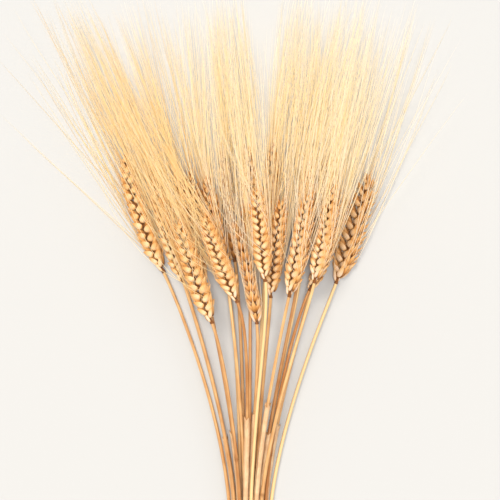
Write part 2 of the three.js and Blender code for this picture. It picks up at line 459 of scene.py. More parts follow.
class Cluster:
    """Copies of modelled shapes, gathered into one piece.

    Attributes:
        margin: share of its tile on the piece's own map that each copy leaves free at each edge.
    """

    margin = 0.06

    def __init__(self, across: int, up: int) -> None:
        """Starts an empty cluster.

        Args:
            across: how many copies lie side by side on the piece's own map.
            up: how many rows of them it holds.
        """
        self.grid = (across, up)
        self.points: list[Points] = []
        self.corners: list[Points] = []
        self.counts: list[Points] = []
        self.wrap: list[Points] = []
        self.tile: list[Points] = []
        self.ripeness: list[Points] = []
        self.held = 0

    def add(self, shape: Shape, points: Points, ripeness: Points | float) -> None:
        """Adds one copy.

        Args:
            shape: the shape it is a copy of.
            points: where its vertices lie, in millimetres.
            ripeness: its colour, from 0 to 1, all over or at each vertex; on husks and awns it also
                carries painted shade and light.
        """
        across, up = self.grid
        number = len(self.points) % (across * up)
        corner = np.array([number % across, number // across], float)
        inside = self.margin + shape.wrap * (1 - 2 * self.margin)
        self.tile.append((corner + inside) / (across, up))
        self.wrap.append(shape.wrap)
        self.corners.append(shape.corners + self.held)
        self.counts.append(shape.counts)
        self.points.append(points)
        self.ripeness.append(np.broadcast_to(np.asarray(ripeness, float), len(points)))
        self.held += len(points)

    def piece(self, name: str, layout: Layout, smooth_within: float) -> bpy.types.Object:
        """Makes the piece.

        Args:
            name: its name.
            layout: where the bundle lies in the frame.
            smooth_within: faces that meet at a smaller angle, in degrees, are shaded as one.

        Returns:
            The new object, at the origin.
        """
        points = layout.in_frame(np.concatenate(self.points))
        corners = np.concatenate(self.corners)
        counts = np.concatenate(self.counts)
        mesh = bpy.data.meshes.new(name)
        mesh.vertices.add(len(points))
        mesh.vertices.foreach_set("co", points.astype(np.float32).ravel())
        mesh.loops.add(len(corners))
        mesh.loops.foreach_set("vertex_index", corners.astype(np.int32))
        mesh.polygons.add(len(counts))
        first = np.concatenate([[0], np.cumsum(counts)[:-1]])
        mesh.polygons.foreach_set("loop_start", first.astype(np.int32))
        mesh.update(calc_edges=True)
        for title, places in (("Grain", self.wrap), ("OFBake", self.tile)):
            layer = mesh.uv_layers.new(name=title)
            layer.uv.foreach_set("vector", np.concatenate(places).astype(np.float32).ravel())
        # the tone, which on husks and awns also carries painted shade and light
        tint = mesh.attributes.new("ripeness", "FLOAT", "POINT")
        tint.data.foreach_set("value", np.concatenate(self.ripeness).astype(np.float32))
        mesh.validate()
        made = bpy.data.objects.new(name, mesh)
        bpy.context.scene.collection.objects.link(made)
        bpy.ops.object.select_all(action="DESELECT")
        made.select_set(True)
        bpy.context.view_layer.objects.active = made
        bpy.ops.object.shade_smooth_by_angle(angle=math.radians(smooth_within))
        return made


# ---- Finishes ----


def colour(hexed: str) -> tuple[float, float, float, float]:
    """Turns an sRGB colour into the linear numbers that a shader takes.

    Args:
        hexed: the colour as # and six hex digits.

    Returns:
        Red, green, blue and an alpha of 1.
    """
    parts = [int(hexed[i : i + 2], 16) / 255 for i in (1, 3, 5)]
    linear = [p / 12.92 if p <= 0.04045 else ((p + 0.055) / 1.055) ** 2.4 for p in parts]
    return (*linear, 1.0)


# Settings that many nodes share.
EASED = {"interpolation_type": "SMOOTHSTEP"}
TIMES = {"operation": "MULTIPLY"}
PLUS = {"operation": "ADD"}
TIMES_PLUS = {"operation": "MULTIPLY_ADD"}
SINE = {"operation": "SINE"}
OVER = {"data_type": "RGBA"}
INTO = {"data_type": "RGBA", "blend_type": "MULTIPLY"}
NOISE_RANGE = {"From_Min": 0.3, "From_Max": 0.7}  # where most of a noise pattern's values lie
PATTERN_SHIFT = 90.0  # how far ripeness moves a pattern, so that no two pieces share its places


@dataclass(frozen=True)
class Grain:
    """What every finish reads from the piece that wears it.

    Attributes:
        around: how far round its shape a place lies, from 0 to 1.
        along: how far along its shape it lies, from 0 to 1.
        ripe: the colour that the piece carries there, from 0 to 1.
    """

    around: Link
    along: Link
    ripe: Link


class Nodes:
    """The node tree of one material, with its shader and its output in place.

    Attributes:
        material: the new material.
        tree: its node tree.
        shader: its main shader.
    """

    def __init__(self, name: str) -> None:
        """Makes a new material.

        Args:
            name: its name.
        """
        self.material = bpy.data.materials.new(name)
        self.material.use_nodes = True
        self.tree = self.material.node_tree
        self.shader = next(n for n in self.tree.nodes if n.type == "BSDF_PRINCIPLED")

    def fill(self, node: bpy.types.Node, inputs: dict[str, object]) -> None:
        """Sets or links a node's inputs.

        Args:
            node: the node.
            inputs: what each input takes, named with _ for a space, or in_N by its number. That
                is a value, a socket, or a node whose first output is meant.
        """
        for name, value in inputs.items():
            key = int(name[3:]) if name.startswith("in_") else name.replace("_", " ")
            if isinstance(value, bpy.types.Node):
                value = value.outputs[0]
            if isinstance(value, Link):
                self.tree.links.new(value, node.inputs[key])
            else:
                node.inputs[key].default_value = value

    def add(self, kind: str, settings: dict | None = None, **inputs: object) -> bpy.types.Node:
        """Adds one node, with its settings and links.

        Args:
            kind: Blender's name of the node type, without "ShaderNode".
            settings: the node's own settings, with a ramp's places and colours as "stops".
            inputs: what its inputs take, as in fill.

        Returns:
            The new node.
        """
        node = self.tree.nodes.new("ShaderNode" + kind)
        own = dict(settings or {})
        stops = own.pop("stops", ())
        for name, value in own.items():
            setattr(node, name, value)
        for _ in stops[2:]:  # a new ramp has two
            node.color_ramp.elements.new(0.5)
        for i, (place, hexed) in enumerate(stops):
            mark = node.color_ramp.elements[i]
            mark.position, mark.color = place, colour(hexed)
        self.fill(node, inputs)
        return node

    def look(self, **inputs: object) -> bpy.types.Material:
        """Feeds the shader's own inputs, as in fill, and gives the finished material."""
        self.fill(self.shader, inputs)
        return self.material

    def let_through(self, tint: Link, share: float) -> None:
        """Mixes in a shader that passes light on through thin dry fibre.

        Args:
            tint: the colour of the fibre.
            share: how much of the look it makes up.
        """
        through = self.add("BsdfTranslucent", Color=tint)
        both = self.add("MixShader", Fac=share, in_1=self.shader, in_2=through)
        output = next(n for n in self.tree.nodes if n.type == "OUTPUT_MATERIAL")
        self.fill(output, {"Surface": both})

    def grain(self) -> Grain:
        """Reads the piece's own map and colour.

        Returns:
            What was read.
        """
        parts = self.add("SeparateXYZ", Vector=self.add("UVMap", {"uv_map": "Grain"})).outputs
        ripe = self.add("Attribute", {"attribute_name": "ripeness"}).outputs["Fac"]
        return Grain(parts["X"], parts["Y"], ripe)

    def fibres(self, grain: Grain, radius: float, drawn: float) -> Link:
        """Lays out places for a pattern that follows a long round piece, with no seam.

        Args:
            grain: what was read from the piece.
            radius: the piece's radius, in millimetres.
            drawn: its length on the pattern, in millimetres.

        Returns:
            The places, in millimetres.
        """
        shift = self.add("Math", TIMES, in_0=grain.ripe, in_1=PATTERN_SHIFT)
        turn = self.add("Math", TIMES, in_0=grain.around, in_1=2 * math.pi)
        cosine = self.add("Math", {"operation": "COSINE"}, in_0=turn)
        x = self.add("Math", TIMES, in_0=cosine, in_1=radius)
        y = self.add("Math", TIMES, in_0=self.add("Math", SINE, in_0=turn), in_1=radius)
        along = self.add("Math", TIMES, in_0=grain.along, in_1=drawn)
        z = self.add("Math", PLUS, in_0=along, in_1=shift)
        return self.add("CombineXYZ", X=x, Y=y, Z=z).outputs[0]


@dataclass(frozen=True)
class DryHusk:
    """Dried glume and lemma: stiff plant fibre, grown as a smooth boat with fine raised nerves.

    It gives a soft satin gleam on plump scales, cream where the sun bleached them, and orange-brown
    painted shade where one scale dips under the next.

    Attributes:
        by_ripeness: the colour at each ripeness.
        nerves: how many nerves run up a scale.
        nerve_tint: the colour that darkens them.
        nerve_shows: how much it does.
        nerve_depth_mm: how far they stand out.
        nerve_strength: the share of that which is drawn.
        blotch_mm: the size of a blotch.
        blotch_shows: how much ripeness differs from one blotch to the next.
        roughness: the usual roughness.
        smoother: how much smoother the smoothest places are.
        rougher: how much rougher the roughest places are.
        gloss: how strongly the fibre reflects.
        down: how much the bloom of fine hairs shows, which are too fine to draw.
    """

    by_ripeness: tuple[tuple[float, str], ...] = (
        (0.0, "#ebd0b8"),
        (0.2, "#e8c9a1"),
        (0.4, "#e0b57e"),
        (0.6, "#d09a59"),
        (0.8, "#b07636"),
        # the dark browns are reached mostly where painted shade adds to the tone
        (1.0, "#7c4a1c"),
    )
    nerves: int = 9  # a good 1 mm apart, coarser than the real half millimetre so that they show
    nerve_tint: str = "#c08a50"
    nerve_shows: float = 0.2
    nerve_depth_mm: float = 0.15
    nerve_strength: float = 0.35
    blotch_mm: float = 2.2
    blotch_shows: float = 0.24
    roughness: float = 0.6
    smoother: float = 0.08
    rougher: float = 0.12
    gloss: float = 0.3
    down: float = 0.1

    def made(self) -> bpy.types.Material:
        """Builds the finish.

        Returns:
            The material.
        """
        nodes = Nodes("dry_husk")
        grain = nodes.grain()
        place = nodes.add("TexCoord").outputs["Object"]
        scale = 1 / (self.blotch_mm * MM)
        blotch = nodes.add("TexNoise", Vector=place, Scale=scale, Detail=3.0, Roughness=0.6)
        shows = {"in_1": self.blotch_shows, "in_2": -self.blotch_shows / 2}
        uneven = nodes.add("Math", TIMES_PLUS, in_0=blotch, **shows)
        riper = nodes.add("Math", PLUS, in_0=grain.ripe, in_1=uneven)
        tone = nodes.add("ValToRGB", {"stops": self.by_ripeness}, Fac=riper)
        turn = nodes.add("Math", TIMES, in_0=grain.around, in_1=2 * math.pi * self.nerves)
        nerve = nodes.add("Math", SINE, in_0=turn)
        lines = nodes.add("MapRange", EASED, Value=nerve, From_Min=0.1, To_Max=self.nerve_shows)
        tinted = nodes.add("Mix", INTO, in_0=lines, in_6=tone, in_7=colour(self.nerve_tint))
        limits = {"To_Min": self.roughness - self.smoother, "To_Max": self.roughness + self.rougher}
        rough = nodes.add("MapRange", EASED, Value=blotch, **NOISE_RANGE, **limits)
        height = nodes.add("Math", PLUS, in_0=nerve, in_1=blotch)
        depth = {"Strength": self.nerve_strength, "Distance": self.nerve_depth_mm * MM}
        return nodes.look(
            Base_Color=tinted.outputs[2],
            Roughness=rough,
            Normal=nodes.add("Bump", Height=height, **depth),
            Specular_IOR_Level=self.gloss,
            Sheen_Weight=self.down,
            Sheen_Roughness=0.5,
        )


@dataclass(frozen=True)
class Bristle:
    """Dried awn: a thin silica-rich hair of plant fibre, pulled out smooth by growth.

    It gives fine bright lines, golden at the foot, cream to near white where the hair thins out.
    The near white is painted light, paler than the dry fibre is, for the glow of light through the
    thin hairs.

    Attributes:
        along: the colour at each place from the foot to the tip, paling into painted glow towards
            the tip.
        golden: the colour of the deepest golden hairs.
        bleached: the colour of the palest, near white: sun-bleached hair lightened further as
            painted glow.
        middling: the ripeness of a hair that is neither.
        bleaches: how much of the palest colour the palest hairs take.
        deepens: how much of the golden colour the deepest hairs take.
        lets_through: how much of the light comes through from behind.
        roughness: the roughness.
        gloss: how strongly the fibre reflects.
    """

    # paling to near white towards the tip: partly painted glow of light through the thin hairs
    along: tuple[tuple[float, str], ...] = (
        (0.0, "#f2d197"),
        (0.08, "#fbe8bb"),
        (0.25, "#fff3cf"),
        (0.7, "#fff3d3"),
        (1.0, "#fff5dd"),
    )
    golden: str = "#f2d194"
    # near white: sun-bleached hair, lightened further as painted glow
    bleached: str = "#fffaf0"
    middling: float = 0.45
    bleaches: float = 0.8
    deepens: float = 0.6
    lets_through: float = 0.62
    roughness: float = 0.42
    gloss: float = 0.4

    def made(self) -> bpy.types.Material:
        """Builds the finish.

        Returns:
            The material.
        """
        nodes = Nodes("bristle")
        grain = nodes.grain()
        tone = nodes.add("ValToRGB", {"stops": self.along}, Fac=grain.along)
        fading = {"From_Max": self.middling, "To_Min": self.bleaches, "To_Max": 0.0}
        fade = nodes.add("MapRange", EASED, Value=grain.ripe, **fading)
        faded = nodes.add("Mix", OVER, in_0=fade, in_6=tone, in_7=colour(self.bleached))
        deepening = {"From_Min": self.middling, "To_Max": self.deepens}
        deep = nodes.add("MapRange", EASED, Value=grain.ripe, **deepening)
        deepened = nodes.add(
            "Mix", OVER, in_0=deep, in_6=faded.outputs[2], in_7=colour(self.golden)
        ).outputs[2]
        nodes.let_through(deepened, self.lets_through)
        return nodes.look(
            Base_Color=deepened, Roughness=self.roughness, Specular_IOR_Level=self.gloss
        )


@dataclass(frozen=True)
class WaxyStraw:
    """Dried straw: a hollow stem of long fibres under a thin natural wax.

    It gives fine fibres along its length, a silky gleam, warm golden tan with browner streaks, and
    a dark swollen joint.

    Attributes:
        by_tone: the colour at each tone.
        joint: the colour of the joint.
        joint_shows: how much the joint takes of it.
        streak_mm: the breadth of a streak of fibres.
        streak_shows: how much streaks change the tone.
        cloud_mm: the size of a darker or paler stretch.
        cloud_shows: how much such stretches change the tone.
        by_straw: what ripeness is multiplied by and what is added, to shift a straw's tone.
        paler_top: how much the tone changes from the cut end to the ear.
        radius_mm: the straw's radius.
        drawn_mm: the length that the pattern takes the straw to have.
        roughness: the usual roughness.
        smoother: how much smoother the smoothest streaks are.
        rougher: how much rougher the roughest streaks are.
        gloss: how strongly the wax reflects.
    """

    by_tone: tuple[tuple[float, str], ...] = (
        (0.3, "#e0bf8a"),
        (0.5, "#cc9e69"),
        (0.78, "#a56c39"),
    )
    joint: str = "#8a5526"
    joint_shows: float = 0.8
    streak_mm: float = 0.9  # coarser than the real tenth of a millimetre, so that fibres show
    streak_shows: float = 0.6
    cloud_mm: float = 14.0
    cloud_shows: float = 0.4
    by_straw: tuple[float, float] = (0.8, -0.22)
    paler_top: float = -0.2
    radius_mm: float = 1.3
    drawn_mm: float = 9.0  # the fibres are drawn out to about thirty times their breadth
    roughness: float = 0.44
    smoother: float = 0.06
    rougher: float = 0.12
    gloss: float = 0.35

    def made(self) -> bpy.types.Material:
        """Builds the finish.

        Returns:
            The material.
        """
        nodes = Nodes("waxy_straw")
        grain = nodes.grain()
        joint = nodes.add("Attribute", {"attribute_name": "joint"}).outputs["Fac"]
        place = nodes.add("TexCoord").outputs["Object"]
        drawn = nodes.fibres(grain, self.radius_mm, self.drawn_mm)
        streak = nodes.add("TexNoise", Vector=drawn, Scale=1 / self.streak_mm, Detail=3.0)
        cloud = nodes.add("TexNoise", Vector=place, Scale=1 / (self.cloud_mm * MM), Detail=2.0)
        clouds = nodes.add("Math", TIMES, in_0=cloud, in_1=self.cloud_shows)
        both = nodes.add("Math", TIMES_PLUS, in_0=streak, in_1=self.streak_shows, in_2=clouds)
        times, plus = self.by_straw
        riper = nodes.add("Math", TIMES_PLUS, in_0=grain.ripe, in_1=times, in_2=plus)
        mixed = nodes.add("Math", PLUS, in_0=both, in_1=riper)
        mixed = nodes.add("Math", TIMES_PLUS, in_0=grain.along, in_1=self.paler_top, in_2=mixed)
        tone = nodes.add("ValToRGB", {"stops": self.by_tone}, Fac=mixed)
        dark = nodes.add("Math", TIMES, in_0=joint, in_1=self.joint_shows)
        marked = nodes.add("Mix", OVER, in_0=dark, in_6=tone, in_7=colour(self.joint))
        limits = {"To_Min": self.roughness - self.smoother, "To_Max": self.roughness + self.rougher}
        rough = nodes.add("MapRange", EASED, Value=streak, **NOISE_RANGE, **limits)
        return nodes.look(
            Base_Color=marked.outputs[2], Roughness=rough, Specular_IOR_Level=self.gloss
        )


@dataclass(frozen=True)
class PaperyLeaf:
    """Dried leaf sheath: a thin veined leaf base, bleached and brittle.

    It gives a matt, papery, pinkish beige with lengthwise veins and weathered blotches.

    Attributes:
        by_tone: the colour at each tone.
        weathered: the colour of the worn rim.
        vein_mm: the breadth of a vein.
        vein_shows: how much veins change the tone.
        ridges: how many ridges run round the sheath.
        ridge_depth_mm: how far they stand out.
        ridge_strength: the share of that which is drawn.
        radius_mm: the sheath's radius.
        drawn_mm: the length that the pattern takes the sheath to have.
        blotch_mm: the size of a weathered blotch.
        blotch_shows: how much blotches change the tone.
        collar: the place from 0 to 1 where the worn rim starts, and how much it shows.
        roughness: the roughness.
        gloss: how strongly the leaf reflects.
    """

    by_tone: tuple[tuple[float, str], ...] = (
        (0.35, "#dfc49c"),
        (0.52, "#d2ab84"),
        (0.72, "#bd9366"),
    )
    weathered: str = "#bd9366"
    vein_mm: float = 0.45
    vein_shows: float = 0.45
    ridges: int = 16  # about two thirds of a millimetre apart round a sheath 3.4 mm across
    ridge_depth_mm: float = 0.12
    ridge_strength: float = 0.4
    radius_mm: float = 1.7
    drawn_mm: float = 5.0  # the veins are drawn out to about thirty times their breadth
    blotch_mm: float = 9.0
    blotch_shows: float = 0.55
    collar: tuple[float, float] = (0.95, 0.5)
    roughness: float = 0.72
    gloss: float = 0.3

    def made(self) -> bpy.types.Material:
        """Builds the finish.

        Returns:
            The material.
        """
        nodes = Nodes("papery_leaf")
        grain = nodes.grain()
        place = nodes.add("TexCoord").outputs["Object"]
        drawn = nodes.fibres(grain, self.radius_mm, self.drawn_mm)
        vein = nodes.add("TexNoise", Vector=drawn, Scale=1 / self.vein_mm, Detail=2.0)
        scale = 1 / (self.blotch_mm * MM)
        blotch = nodes.add("TexNoise", Vector=place, Scale=scale, Detail=4.0, Roughness=0.65)
        blotches = nodes.add("Math", TIMES, in_0=blotch, in_1=self.blotch_shows)
        both = nodes.add("Math", TIMES_PLUS, in_0=vein, in_1=self.vein_shows, in_2=blotches)
        tone = nodes.add("ValToRGB", {"stops": self.by_tone}, Fac=both)
        start, shows = self.collar
        worn = nodes.add("MapRange", EASED, Value=grain.along, From_Min=start, To_Max=shows)
        tinted = nodes.add("Mix", OVER, in_0=worn, in_6=tone, in_7=colour(self.weathered))
        turn = nodes.add("Math", TIMES, in_0=grain.around, in_1=2 * math.pi * self.ridges)
        height = nodes.add("Math", PLUS, in_0=nodes.add("Math", SINE, in_0=turn), in_1=vein)
        depth = {"Strength": self.ridge_strength, "Distance": self.ridge_depth_mm * MM}
        return nodes.look(
            Base_Color=tinted.outputs[2],
            Roughness=self.roughness,
            Normal=nodes.add("Bump", Height=height, **depth),
            Specular_IOR_Level=self.gloss,
        )


@dataclass(frozen=True)
class Finishes:
    """The four finishes of the bundle, each made once.

    Attributes:
        husk: for the scales and stems of the ears.
        bristle: for the awns.
        straw: for the straws.
        leaf: for the leaf sheaths.
    """

    husk: bpy.types.Material = field(default_factory=lambda: DryHusk().made())
    bristle: bpy.types.Material = field(default_factory=lambda: Bristle().made())
    straw: bpy.types.Material = field(default_factory=lambda: WaxyStraw().made())
    leaf: bpy.types.Material = field(default_factory=lambda: PaperyLeaf().made())


class Slot(Enum):
    """The record's material slots."""

    STRAW = "straw"
    EAR = "ear"
    LEAF = "leaf_sheath"


def fit(piece: bpy.types.Object, finish: bpy.types.Material, node: str) -> None:
    """Dresses a finished piece and fixes it to the bundle in place of a CAD node.

    Args:
        piece: the finished object.
        finish: its material.
        node: the CAD node that it stands for.
    """
    piece.data.materials.append(finish)
    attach(piece, "root")
    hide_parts(node)
    log.info("%s: %d faces, in place of %s", piece.name, len(piece.data.polygons), node)


# ---- The pieces ----


RACHIS_STEPS = 21  # one for each spikelet but a few at the tip
JOINT = (0.28, 0.32)  # share of the modelled straw below its joint, and below the joint's top


@dataclass(frozen=True)
class Shapes:
    """The shapes that repeat, each modelled once.

    Attributes:
        lemma: the long outer scale of a floret.
        glume: the shorter scale over its foot.
        rachis: the ear's own stem.
        awn: a bristle.
        straw: a straw with its joint and its hollow cut end.
        sheath: the foot of a leaf.
    """

    lemma: Shape
    glume: Shape
    rachis: Shape
    awn: Shape
    straw: Shape
    sheath: Shape

    @classmethod
    def modelled(cls) -> "Shapes":
        """Models them all."""
        scales = cls.lemma_(), cls.glume_()
        return cls(*scales, cls.rachis_(), cls.awn_(), cls.straw_(), cls.sheath_())

    @staticmethod
    def scale(name: str, rings: Sequence[Ring], hollow: float, keel: float) -> Shape:
        """Models a plump pointed scale, one unit long, with half a width and thickness of one.

        Args:
            name: name of the object while it is modelled.
            rings: its rings from the foot to the point.
            hollow: how much of its thickness the inner side keeps.
            keel: how far the ridge along its back stands out.

        Returns:
            The finished shape.
        """
        near = 0.01
        column = Column(name, 8, rings)
        column.pick(column.floors[-1])
        bpy.ops.mesh.merge(type="CENTER")
        column.pick_where(lambda p: p.y < -near)
        bpy.ops.transform.resize(value=(1, hollow, 1), center_override=(0, 0, 0))
        column.pick_where(lambda p: abs(p.x) < near and p.y > 0.2)  # the ridge, but for its tip
        bpy.ops.transform.translate(value=(0, keel, 0))
        return column.shape()

    @classmethod
    def lemma_(cls) -> Shape:
        """Models the long outer scale of a floret, whose point runs out into the awn.

        Returns:
            The finished shape.
        """
        rings = (
            Ring(0.00, 0.40, 0.44, 0.00),
            Ring(0.07, 0.74, 0.76, 0.02),
            Ring(0.22, 1.00, 0.98, 0.03),
            Ring(0.42, 0.98, 1.00, 0.00),
            Ring(0.61, 0.78, 0.80, -0.06),
            Ring(0.78, 0.48, 0.52, -0.14),
            Ring(0.91, 0.22, 0.27, -0.20),
            Ring(1.00, 0.04, 0.05, -0.22),
        )
        return cls.scale("lemma", rings, hollow=0.5, keel=0.03)

    @classmethod
    def glume_(cls) -> Shape:
        """Models the shorter scale over the foot of a floret, plump below, with a short tooth.

        Returns:
            The finished shape.
        """
        rings = (
            Ring(0.00, 0.34, 0.40, -0.10),
            Ring(0.07, 0.68, 0.74, 0.00),
            Ring(0.20, 0.95, 0.96, 0.04),
            Ring(0.40, 1.00, 1.00, 0.04),
            Ring(0.60, 0.86, 0.84, -0.02),
            Ring(0.78, 0.58, 0.58, -0.12),
            Ring(0.91, 0.26, 0.30, -0.22),
            Ring(1.00, 0.04, 0.05, -0.26),
        )
        return cls.scale("glume", rings, hollow=0.45, keel=0.0)

    @staticmethod
    def rachis_() -> Shape:
        """Models the ear's own stem, which steps between the spikelets above a small collar.

        Returns:
            The finished shape.
        """
        rings = [Ring(0.0, 1.3, 1.4), Ring(0.006, 1.7, 1.9), Ring(0.014, 1.6, 1.8)]
        for i in range(1, RACHIS_STEPS):
            rings.append(Ring(i / RACHIS_STEPS, 0.8 + 0.35 * (i % 2), 0.9 - 0.02 * i))
        rings.append(Ring(1.0, 0.3, 0.3))
        return Column("rachis", 6, rings).shape()

    @staticmethod
    def awn_() -> Shape:
        """Models a bristle that thins out evenly to its tip."""
        return Column("awn", 4, [Ring(i / 8, 1 - i / 8, 1 - i / 8) for i in range(9)]).shape()

    @staticmethod
    def straw_() -> Shape:
        """Models a straw with one swollen joint and a hollow cut end.

        Returns:
            The finished shape.
        """
        joint = (
            (JOINT[0], 1.00),
            (0.290, 1.03),
            (0.295, 1.16),
            (0.298, 1.27),
            (0.300, 1.12),
            (0.303, 1.30),
            (0.308, 1.18),
            (0.315, 1.04),
            (JOINT[1], 1.00),
        )
        below = [(i * 0.04, 1.0) for i in range(7)]
        above = [(JOINT[1] + i * 0.034, 1.0) for i in range(1, 21)]
        rings = [Ring(h, r, r) for h, r in (*below, *joint, *above)]
        wall, hollow = 0.3, 0.012
        column = Column("straw", 12, rings)
        column.pick(column.floors[0])
        bpy.ops.mesh.inset(thickness=wall)
        bpy.ops.mesh.extrude_region_move(TRANSFORM_OT_translate={"value": (0, 0, hollow)})
        return column.shape()

    @staticmethod
    def sheath_() -> Shape:
        """Models a split tube that hugs the straw and opens into a torn collar.

        Returns:
            The finished shape.
        """
        widening = [(i / 20, 1.0 + 0.004 * i) for i in range(1, 19)]
        collar = ((0.94, 1.08), (0.965, 1.04), (0.985, 1.12), (1.0, 1.24))
        rings = [Ring(h, r, r) for h, r in ((0.0, 1.0), (0.012, 1.04), *widening, *collar)]
        half_split = 0.25  # in radians
        torn_off, standing = -0.018, 0.012  # the lowest and highest place of the torn rim
        column = Column("sheath", 18, rings, closed=False)
        bpy.ops.mesh.select_mode(type="FACE")
        bpy.ops.mesh.select_all(action="DESELECT")
        mesh = column.mesh
        for face in mesh.faces:
            middle = face.calc_center_median()
            face.select_set(abs(math.atan2(middle.y, middle.x)) < half_split)
        bmesh.update_edit_mesh(column.object.data)
        bpy.ops.mesh.delete(type="FACE")
        bpy.ops.mesh.select_mode(type="VERT")
        torn = np.random.default_rng(5)
        for number in column.floors[-1]:
            column.pick([number])
            height = float(torn.uniform(torn_off, standing))
            bpy.ops.transform.translate(value=(0, 0, height))
        return column.shape()


class Kind(Enum):
    """The kinds of scale in a spikelet, and how each changes colour from its foot to its point.

    A value lists places along the scale, from 0 to 1, and how much deeper in tone than the ear it
    is there.
    The darker tone at the foot, in the crease of the ear, and at the point, where the scale runs
    under the next one, is painted shade; so is the lemma's deeper tone, under the glumes.
    """

    # painted shade in the crease at the foot and at the point, where it runs under the next scale
    GLUME = ((0.0, 0.8), (0.07, 0.3), (0.18, -0.02), (0.45, 0.04), (0.7, 0.28), (1.0, 0.44))
    # painted shade, deepest at the foot, where the lemma lies under the glumes
    LEMMA = ((0.0, 0.9), (0.3, 0.55), (0.6, 0.3), (1.0, 0.1))


@dataclass(frozen=True)
class Seat:
    """How a scale sits in a spikelet on the ear's right. Lengths in millimetres, angles in degrees.

    Attributes:
        kind: what kind of scale it is.
        foot: where it grows from: out from the ear's axis, along it and to the front.
        lean: how far it leans out from the axis.
        splay: how far its point turns to the front.
        outward: roughly where its back faces.
        size: its length, half width and half thickness.
        faces: 1 for one at the front, -1 for one at the back.
        awned: whether a bristle grows from its point.
    """

    kind: Kind
    foot: tuple[float, float, float]
    lean: float
    splay: float
    outward: tuple[float, float, float]
    size: tuple[float, float, float]
    faces: tuple[int, ...] = (1, -1)
    awned: bool = True


SPIKELET = (
    Seat(Kind.LEMMA, (1.5, 1.4, 1.0), 33, 5, (0.6, 0.0, 1.0), (11.4, 1.75, 1.5)),
    Seat(Kind.LEMMA, (2.3, 0.6, 0.0), 29, 0, (1.0, 0.0, 0.0), (10.8, 2.0, 1.7), (1,)),
    Seat(Kind.GLUME, (0.45, 0.0, 2.7), 50, 3, (0.5, 0.0, 1.0), (8.4, 2.3, 1.5), awned=False),
)
CROWN = tuple(
    Seat(Kind.LEMMA, (0, 0, 0), lean, 0, outward, (8.6, 1.3, 1.2), (1,))
    for lean, outward in ((20, (1, 0, 0)), (-10, (-0.5, 0, 0.9)), (-10, (-0.5, 0, -0.9)))
)


@dataclass(frozen=True)
class Scale:
    """One scale of an ear before the ear is bent along its axis. Lengths in millimetres.

    Attributes:
        seat: how it sits in its spikelet.
        foot: where it grows from.
        ahead: the direction it points in.
        outward: the direction its back faces.
        size: its length, half width and half thickness.
        ripeness: the colour of its belly, from 0 to 1.
        height: its place along the ear, from 0 to 1.
        awn_at: how far up it its bristle starts, from 0 to 1.
    """

    seat: Seat
    foot: Points
    ahead: Points
    outward: Points
    size: tuple[float, float, float]
    ripeness: float
    height: float
    awn_at: float = 0.93

    def laid(self, shape: Shape) -> Points:
        """Places a shape's points on the ear.

        Args:
            shape: the shape of the scale.

        Returns:
            The points.
        """
        across = np.cross(self.ahead, self.outward)
        length, half_width, half_thickness = self.size
        x, y, z = shape.points.T
        return (
            self.foot
            + np.outer(x * half_width, across)
            + np.outer(y * half_thickness, self.outward)
            + np.outer(z * length, self.ahead)
        )

    def tone(self, shape: Shape) -> Points:
        """The colour of a shape's points on this scale, from 0 to 1, with the painted shade of its
        kind.
        """
        places, riper = np.transpose(self.seat.kind.value)
        return np.clip(self.ripeness + np.interp(shape.points[:, 2], places, riper), 0, 1)

    @property
    def point(self) -> Points:
        """Where its bristle starts."""
        return self.foot + self.ahead * self.size[0] * self.awn_at


def unit(vector: Sequence[float]) -> Points:
    """The direction of a vector."""
    return np.asarray(vector, float) / np.linalg.norm(vector)


